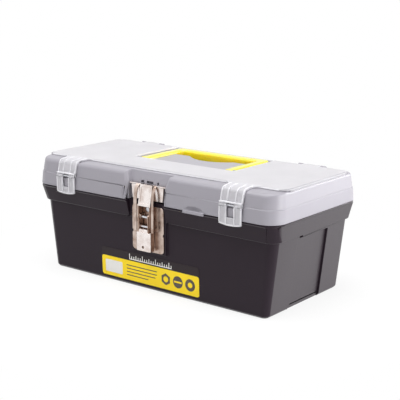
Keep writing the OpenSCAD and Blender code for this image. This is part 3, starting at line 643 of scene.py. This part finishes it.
# Arms: a thin web flared where it leaves the cover's edge, with four beads down its front
arm_under = [(-54.5, cover_z), (-58.5, cover_z), (-68.7, 123.85), (-70.3, 123.4), (-71.7, 122.5), (-72.7, 121.2)]
arm_under += [(-73.2, 119.6), (-75.5, 111.3)]
arm_over = [(-77, 111.3), (-74.7, 121), (-73.9, 122.9), (-72.4, 124.4), (-70.2, 125.2), (-66, 125.8)]
arm_over += [(-58.5, 126.65), (-54.5, 126.65)]
bead_line = [(-76.6, 111.3), (-74.3, 121), (-73.4, 122.7), (-72, 124), (-70, 124.8), (-66, 125.4), (-60, 126.2)]
bead_line += [(-59.5, cover_top), (-66, 126.35), (-70.4, 125.85), (-72.8, 125), (-74.5, 123.3), (-75.4, 121.2)]
bead_line += [(-77.7, 111.3)]
flare = 8
flare_reach = flare - 1.2
flare_y = -66.5
flare_under = [(-54.5, cover_z), (-58.5, cover_z), (flare_y, 124.05)]
flare_over = [(flare_y, 125.7), (-58.5, 126.6), (-54.5, 126.6)]
beads = bmesh.new()
for side in (-1, 1):
    x0 = side * clip_x - clip_half
    x1 = side * clip_x + clip_half
    wide = bmesh.new()
    prism(wide, [(x0 - flare_reach, y, z) for y, z in flare_under + flare_over],
          (x1 - x0 + 2 * flare_reach, 0, 0))
    for x in (x0 - flare, x1 + flare):
        curve = bmesh.new()
        bmesh.ops.create_cone(curve, cap_ends=True, segments=48, radius1=flare * mm, radius2=flare * mm,
                              depth=10 * mm, matrix=Matrix.Translation((x * mm, flare_y * mm, cover_z * mm)))
        wide = combine(wide, curve, "DIFFERENCE")
    cover = combine(cover, wide, "UNION")
    web = bmesh.new()
    prism(web, [(x0, y, z) for y, z in arm_under + arm_over], (2 * clip_half, 0, 0))
    cover = combine(cover, web, "UNION")
    ears = bmesh.new()
    necks = bmesh.new()
    for x in (x0, x1 - ear_w):
        bar(ears, x, x + ear_w, clip_pin_y, seam_z, clip_knuckle_r)
        block(necks, (x, -78.6, seam_z), (x + ear_w, -75.6, 112.3))
    cover = combine(cover, ears, "UNION")
    cover = combine(cover, necks, "UNION")
    hinge_x0 = side * clip_x - cover_hinge_half
    hinge_x1 = side * clip_x + cover_hinge_half
    hinge = bmesh.new()
    bar(hinge, hinge_x0, hinge_x1, cover_hinge_y, cover_hinge_z, cover_knuckle_r)
    cover = combine(cover, hinge, "UNION")
    leaf = bmesh.new()
    block(leaf, (hinge_x0, 56.5, cover_z), (hinge_x1, cover_hinge_y, 126.5))
    cover = combine(cover, leaf, "UNION")
    for step in bead_steps:
        prism(beads, [(side * clip_x + step, y, z) for y, z in bead_line], (bead_w, 0, 0))
    block(beads, (x0, -79.2, 111.2), (x1, -76.2, 112.5))
# Every edge of the clear plastic, and the beads, take a whiter, less clear copy of the sheet as a painted
# highlight; the arms are a little paler than the sheet, and its ends are clearest
sheet_finish, highlight_finish, arm_finish, end_finish = range(4)
arm_start_y = -59
end_start_x = 150
cover.normal_update()
for face in cover.faces:
    middle = face.calc_center_median() / mm
    face.material_index = sheet_finish
    if middle.y < arm_start_y:
        face.material_index = arm_finish
    elif abs(middle.x) > end_start_x and abs(face.normal.x) > 0.2:
        face.material_index = end_finish
    elif abs(face.normal.z) < 0.8 and middle.z > seat_z:
        face.material_index = highlight_finish
# The beads take the whiter copy, a painted highlight
add_shell(cover, beads, highlight_finish)
# The rounded edges take the whiter copy as well, a painted highlight
make_piece("cover", cover, [frosted, frosted_painted_highlight, frosted_arm, frosted_end], "cover",
           ["organizer_cover"], edge=0.2, edge_index=highlight_finish)


# Snap clips
# Two frosted flaps of the same plastic, each hung on a thin pin under an arm of the cover. A window in each
# snaps over a catch on the lid skirt, and the bottom edge is bowed for a fingertip.
clip_back = -77.4
clip_foot = 89.5
clip_top = 107.25
clip_sheet = 1.4
clip_knuckle_half = 7.85
window_half = 4.25
bead_back = -78.2
bead_front = -79.6
hem_high = 1.5
bow = 60


def bowed_z(dx):
    """Height of the bowed bottom edge at a distance from the clip's middle, in mm."""
    return clip_foot + bow - math.sqrt(bow ** 2 - dx ** 2)


bowed = [(clip_half * k / 6, bowed_z(clip_half * k / 6)) for k in range(-6, 7)]
for side, name in ((-1, "left"), (1, "right")):
    x = side * clip_x
    foot = [(x + dx, clip_back, z) for dx, z in bowed]
    flap = bmesh.new()
    prism(flap, foot + [(x + clip_half, clip_back, clip_top), (x - clip_half, clip_back, clip_top)],
          (0, -clip_sheet, 0))
    knuckle = bmesh.new()
    bar(knuckle, x - clip_knuckle_half, x + clip_knuckle_half, clip_pin_y, seam_z, clip_knuckle_r)
    flap = combine(flap, knuckle, "UNION")
    neck = bmesh.new()
    block(neck, (x - clip_knuckle_half, -78.8, 106.2), (x + clip_knuckle_half, clip_back, seam_z))
    flap = combine(flap, neck, "UNION")
    window = bmesh.new()
    block(window, (x - window_half, -85, 97.1), (x + window_half, -70, 112))
    flap = combine(flap, window, "DIFFERENCE")
    # Beads down the front and a hem along the bowed edge, and the rounded edges, take the whiter copy as a painted
    # highlight
    beads = bmesh.new()
    for step in bead_steps:
        block(beads, (x + step, bead_front, bowed_z(step + bead_w / 2)), (x + step + bead_w, bead_back, clip_top))
    add_shell(flap, beads, highlight_finish)
    hem_low = [(a, bead_back, z) for a, y, z in foot]
    hem_top = [(a, bead_back, z + hem_high) for a, y, z in reversed(foot)]
    hem = bmesh.new()
    prism(hem, hem_low + hem_top, (0, -clip_sheet, 0))
    add_shell(flap, hem, highlight_finish)
    make_piece("clip_flap_" + name, flap, [frosted_arm, frosted_painted_highlight], name + "_clip",
               ["clip_" + name], edge=0.35, edge_index=highlight_finish)


# Carry handle
# A yellow bail moulded in polypropylene, lying in the well of the lid. Two straight arms turn on steel pins,
# and the grip between them is deeper over the width of a hand.
handle_top = 126.2
arm_foot = 117.6
arm_out = 62
arm_in = 52
grip_back = 57.8
grip_front = 47.3
handle = bmesh.new()
plan = [(-arm_out, pivot_y), (-arm_in, pivot_y), (-arm_in, grip_front), (arm_in, grip_front)]
plan += [(arm_in, pivot_y), (arm_out, pivot_y), (arm_out, grip_back), (-arm_out, grip_back)]
handle.faces.new([handle.verts.new((x * mm, y * mm, handle_top * mm)) for x, y in plan])
for reach, radius in ((grip_back, 6), (grip_front, 4)):
    bends = [v for v in handle.verts if abs(v.co.y - reach * mm) < mm / 10]
    bmesh.ops.bevel(handle, geom=bends, offset=radius * mm, affect="VERTICES", segments=6, profile=0.5,
                    material=-1)
pushed = bmesh.ops.extrude_face_region(handle, geom=handle.faces[:])["geom"]
bmesh.ops.translate(handle, vec=(0, 0, (arm_foot - handle_top) * mm),
                    verts=[g for g in pushed if isinstance(g, bmesh.types.BMVert)])
bmesh.ops.recalc_face_normals(handle, faces=handle.faces)
knuckles = bmesh.new()
for x in (-arm_out, arm_in):
    bar(knuckles, x, x + arm_out - arm_in, pivot_y, pivot_z, handle_top - pivot_z)
handle = combine(handle, knuckles, "UNION")
hold = bmesh.new()
hold_ends = [(-48, 120), (48, 120), (48, 118.5), (42, 115.2), (-42, 115.2), (-48, 118.5)]
prism(hold, [(x, grip_front, z) for x, z in hold_ends], (0, grip_back - grip_front, 0))
handle = combine(handle, hold, "UNION")
yellow = moulded_plastic("yellow_polypropylene", "#ffdd05", "#fbd502", 0.4, 0.5, 1.2)
# Light goes some way into the pale plastic, and hands have polished its skin
yellow_skin = yellow.node_tree.nodes["Principled BSDF"].inputs
yellow_skin["Subsurface Weight"].default_value = 1
yellow_skin["Subsurface Radius"].default_value = (1, 0.7, 0.1)
yellow_skin["Subsurface Scale"].default_value = 18 * mm
yellow_skin["Coat Weight"].default_value = 1
yellow_skin["Coat Roughness"].default_value = 0.25
make_piece("handle", handle, [yellow], "handle", ["carry_handle"], edge=2.6, steps=5)


# Draw latch
# Three pressings of thin nickel-plated steel: a base plate riveted to the tub, a lever that swings on its ears,
# and a hook plate linked to the lever whose lip pulls the lid down.
def paint_shade_on_faces(bm, low=0, high=0):
    """Paint shade on a pressing: its side faces, and all faces between two heights in mm, take the second
    material, a darker brown copy of the plating that stands for shade and dim reflection.
    """
    bm.normal_update()
    for face in bm.faces:
        dull = abs(face.normal.x) > 0.9 or low < face.calc_center_median().z / mm < high
        face.material_index = 1 if dull else 0


nickel = plated_steel("nickel_plated_steel", "#f3ebe8", "#dccec8", 0.2)
# Darker brown copy of the same plating: painted shade and dim reflection for the pressings' sides and the latch's
# middle
nickel_painted_shade = plated_steel("nickel_plated_steel_painted_shade", "#a98f80", "#7c6355", 0.28)
# Darker beige copy of the same plating: painted shade for the base plate and the hook's arms
nickel_plate_painted_shade = plated_steel("nickel_plated_plate_painted_shade", "#d0bfb5", "#a38c7f", 0.26)
sheet = 1.2
plate_y = pad_y - sheet
link_y = -74.5
lever_z = 80
link_z = 70
ear_r = 2.6
plate_half = 21
plate = bmesh.new()
block(plate, (-plate_half, plate_y, 43), (plate_half, pad_y, 91))
round_edges(plate, 1, 4)
notches = bmesh.new()
for x in (-plate_half, plate_half):
    block(notches, (x - 1, -72, 61.2), (x + 1, -68, 63.8))
plate = combine(plate, notches, "DIFFERENCE")
ears = bmesh.new()
for x in (-5.4, 4.4):
    block(ears, (x, link_y - ear_r, lever_z - ear_r), (x + 1, plate_y + 0.6, lever_z + ear_r))
round_edges(ears, 0, 2.5, lambda c: c.y < link_y)
plate = combine(plate, ears, "UNION")
# Painted shade: the plate's side faces take the darker brown copy
paint_shade_on_faces(plate)
make_piece("latch_plate", plate, [nickel_plate_painted_shade, nickel_painted_shade], "body", ["latch_base"], edge=0.3)

# Rivets: a low domed head in front, the shank, and the same head set against the wall inside
head_r = 3
head_h = 0.9
shank_r = 1.6
dome = [(head_r * math.sin(q), head_h * math.cos(q)) for q in quarter]
front_foot_y = -66
front_out = 1.5
rivets = bmesh.new()
for z in (50, 63, 87.4):
    wall_y = front_foot_y - (z - foot_z - head_r) * front_out / wall_rise if z < band_z else pad_y
    inner_y = wall_y + wall
    line = [(r, plate_y - h) for r, h in dome] + [(shank_r, plate_y), (shank_r, inner_y)]
    line += [(r, inner_y + h) for r, h in reversed(dome)]
    rivet = bmesh.new()
    verts = [rivet.verts.new((r * mm, y * mm, z * mm)) for r, y in line]
    edges = [rivet.edges.new(pair) for pair in zip(verts, verts[1:])]
    bmesh.ops.spin(rivet, geom=verts + edges, cent=(0, 0, z * mm), axis=(0, 1, 0), angle=2 * math.pi, steps=24,
                   use_merge=True)
    bmesh.ops.remove_doubles(rivet, verts=rivet.verts, dist=0.01 * mm)
    bmesh.ops.recalc_face_normals(rivet, faces=rivet.faces)
    add_shell(rivets, rivet)
make_piece("latch_rivet_heads", rivets, [wire], "body", ["latch_rivets"], edge=0.1, angle=60)

# Lever: a hollow pull with two cheeks that run up to the pivot, a rolled edge between them and a small hole
lever_half = 9.5
lever_front = -78.5
lever_top = 64.6
lever_sheet = 1
cheek_half = 6.7
cheek_r = 3.2
hole_r = 1.5
lever = bmesh.new()
block(lever, (-lever_half, lever_front, 45), (lever_half, -71.5, lever_top))
round_edges(lever, 2, 2, lambda c: c.y < link_y)
cheeks = bmesh.new()
block(cheeks, (-cheek_half, link_y - cheek_r, 60), (cheek_half, link_y + cheek_r, lever_z + cheek_r))
round_edges(cheeks, 0, 3.1, lambda c: c.z > lever_z)
lever = combine(lever, cheeks, "UNION")
for low, high in (
    ((-lever_half + lever_sheet, lever_front + lever_sheet, 30),
     (lever_half - lever_sheet, -60, lever_top - lever_sheet)),
    ((-cheek_half + lever_sheet, -90, 66.4), (cheek_half - lever_sheet, -60, 90)),
):
    inside = bmesh.new()
    block(inside, low, high)
    lever = combine(lever, inside, "DIFFERENCE")
curl = bmesh.new()
bar(curl, -5.8, 5.8, -76, 65.8, 2)
lever = combine(lever, curl, "UNION")
hole_place = Matrix.Translation((0, lever_front * mm, 49 * mm)) @ Matrix.Rotation(math.pi / 2, 4, "X")
hole = bmesh.new()
bmesh.ops.create_cone(hole, cap_ends=True, segments=24, radius1=hole_r * mm, radius2=hole_r * mm, depth=6 * mm,
                      matrix=hole_place)
lever = combine(lever, hole, "DIFFERENCE")
# Painted shade: the lever's sides, and its cheeks between 68 and 90 mm, take the darker brown copy
paint_shade_on_faces(lever, 68, 90)
make_piece("latch_lever_pressing", lever, [nickel, nickel_painted_shade], "lever", ["latch_lever"],
           edge=0.3)

# Hook plate: a hollow pressing whose front leans back at the top, with two wings and a lip that enters the lid
hook_half = 8.2
hook_front = -76.5
hook_top = 113
hook_slim = -72.3
panel_z = 91
panel_lean = (hook_slim - hook_front) / (hook_top - panel_z)
hook = bmesh.new()
side_view = [(-71.3, link_z - ear_r), (-71.3, 91.4), (pad_y, 91.4), (pad_y, hook_top), (hook_slim, hook_top),
             (hook_front, panel_z), (hook_front, link_z - ear_r)]
prism(hook, [(-hook_half, y, z) for y, z in side_view], (2 * hook_half, 0, 0))
round_edges(hook, 0, 2.5, lambda c: c.z < link_z)
# Hollow behind the front, which is open below the panel, and a shallow pressed field in the panel
inside_half = 7
field_half = 5.6
field_low = 94
field_high = 110.5
field_sunk = 0.45
inside = bmesh.new()
hollow = [(-60, 60), (-60, hook_top - sheet), (hook_slim + sheet - 0.2, hook_top - sheet),
          (hook_front + sheet, panel_z), (hook_front + sheet, 60)]
prism(inside, [(-inside_half, y, z) for y, z in hollow], (2 * inside_half, 0, 0))
hook = combine(hook, inside, "DIFFERENCE")
inside = bmesh.new()
block(inside, (-inside_half, -90, 60), (inside_half, -72, panel_z))
field = [(hook_front + (z - panel_z) * panel_lean + field_sunk, z) for z in (field_low, field_high)]
field = [(-90, field_low)] + field + [(-90, field_high)]
prism(inside, [(-field_half, y, z) for y, z in field], (2 * field_half, 0, 0))
hook = combine(hook, inside, "DIFFERENCE")
wing = [(7.4, 97), (20, 97), (21, 104), (21.5, hook_top), (7.4, hook_top)]
wings = bmesh.new()
for side in (-1, 1):
    prism(wings, [(side * x, plate_y, z) for x, z in wing], (0, sheet, 0))
hook = combine(hook, wings, "UNION")
hook_lip_half = 24
lip = bmesh.new()
block(lip, (-hook_lip_half, plate_y - 0.2, hook_top - sheet), (hook_lip_half, -67.3, hook_top))
hook = combine(hook, lip, "UNION")
# Painted shade: the hook's sides, and all of it below the panel, take the darker brown copy
paint_shade_on_faces(hook, 60, panel_z)
# A narrow arm on each side of the panel, bent over into the lip
arms = bmesh.new()
arm_side = [(-75.8, 65), (-75.4, 96), (-74.8, 103.5), (-73.5, 108), (-71.4, 110.9), (-70.3, 111.8)]
arm_side += [(-70.3, hook_top), (-72, 112.1), (-74.6, 109), (-76, 104), (-76.6, 96), (-77, 65)]
for x, width in ((-14.1, 4.3), (9.8, 2.8)):
    prism(arms, [(x, y, z) for y, z in arm_side], (width, 0, 0))
# The arms take the darker beige copy of the plating, a painted shade
add_shell(hook, arms, 2)
make_piece("latch_hook_pressing", hook, [nickel, nickel_painted_shade, nickel_plate_painted_shade], "hook", ["latch_hook"],
           edge=0.3)


# Front label
# A printed vinyl sticker on the front wall: a yellow field under a dark band, with a plain ruler, a blank white
# field, ruled lines and a nut, a screw head and a washer. It is stuck flat to the wall, which leans a little.
front_lean = math.atan2(front_out, wall_rise)
glue = 0.02
wall_lay = Matrix.Translation((0, front_foot_y * mm, foot_z * mm)) @ Matrix.Rotation(front_lean, 4, "X")
wall_lay = wall_lay @ Matrix.Translation((0, -glue * mm, -foot_z * mm)) @ Matrix.Rotation(math.pi / 2, 4, "X")


def printed_vinyl(name, ink, faded, roughness):
    """Printed vinyl film: an even satin ink with a fine dot screen, drawn 0.8 mm wide so that it shows."""
    material = bpy.data.materials.new(name)
    material.use_nodes = True
    tree = material.node_tree
    shader = tree.nodes["Principled BSDF"]
    shader.inputs["Roughness"].default_value = roughness
    shader.inputs["Specular IOR Level"].default_value = 0.25
    place = add_node(tree, "ShaderNodeTexCoord").outputs["Object"]
    dot_mm = 0.8
    dots = add_node(tree, "ShaderNodeTexNoise", {"Scale": 1000 / dot_mm, "Detail": 1}, {"Vector": place})
    colour = add_node(tree, "ShaderNodeMix", {6: linear(faded), 7: linear(ink)}, {0: dots.outputs[0]},
                      data_type="RGBA")
    tree.links.new(colour.outputs[2], shader.inputs["Base Color"])
    return material


def patch(bm, x0, z0, x1, z1, radius, depth, index):
    """Add one printed patch, rounded at its corners, lying on the leaning front wall. Sizes are in mm."""
    film = bmesh.new()
    block(film, (x0, z0, 0), (x1, z1, depth))
    if radius:
        round_edges(film, 2, radius)
    bmesh.ops.transform(film, matrix=wall_lay, verts=film.verts)
    add_shell(bm, film, index)


def disc(bm, x, z, radius, sides, depth, index):
    """Add one printed round or many-sided spot, lying on the leaning front wall. Sizes are in mm."""
    film = bmesh.new()
    bmesh.ops.create_cone(film, cap_ends=True, segments=sides, radius1=radius * mm, radius2=radius * mm,
                          depth=depth * mm, matrix=Matrix.Translation((x * mm, z * mm, depth / 2 * mm)))
    bmesh.ops.transform(film, matrix=wall_lay, verts=film.verts)
    add_shell(bm, film, index)


inks = [
    printed_vinyl("dark_vinyl", "#2a2024", "#241b1f", 0.42),
    printed_vinyl("yellow_vinyl", "#ffe228", "#ffdc18", 0.36),
    printed_vinyl("white_ink", "#f2f1ee", "#e6e5e2", 0.4),
    printed_vinyl("grey_ink", "#5f5750", "#544c46", 0.4),
]
dark_ink, yellow_ink, white_ink, grey_ink = range(4)
label_left, label_right = -69.5, 63.5
label_foot = 5.5
base_film = 0.28
ruler_film = 0.31
field_film = 0.32
print_film = 0.35
top_film = 0.37
label = bmesh.new()
patch(label, label_left, label_foot, label_right, 36.5, 3, base_film, dark_ink)
patch(label, label_left, label_foot, label_right, 27, 2.6, field_film, yellow_ink)
# Ruler in the dark band
tick_tops = (34.6, 32, 32, 33.3, 32, 32)
for k in range(20):
    patch(label, -30 + 3 * k, 29.3, -29 + 3 * k, tick_tops[k % 6], 0, ruler_film, white_ink)
patch(label, -30, 28.4, 28, 29.4, 0, field_film, white_ink)
# Blank field and ruled lines
patch(label, -64.5, 9.5, -40, 23, 1.2, print_film, white_ink)
for k, line_end in enumerate((-4, 6, 8, 8)):
    patch(label, -34, 10.4 + 3.6 * k, line_end, 11.4 + 3.6 * k, 0, print_film, grey_ink)
# Nut, screw head and washer
nut_x, screw_x, washer_x = 20, 36, 52
spot_z = 16.2
for x, sides in ((nut_x, 6), (screw_x, 32), (washer_x, 32)):
    disc(label, x, spot_z, 6.4, sides, print_film, grey_ink)
disc(label, nut_x, spot_z, 3.2, 32, top_film, yellow_ink)
patch(label, screw_x - 5, spot_z - 0.9, screw_x + 5, spot_z + 0.9, 0, top_film, yellow_ink)
disc(label, washer_x, spot_z, 2.9, 32, top_film, yellow_ink)
make_piece("label", label, inks, "body", ["label_sticker"], edge=0.03, steps=1)
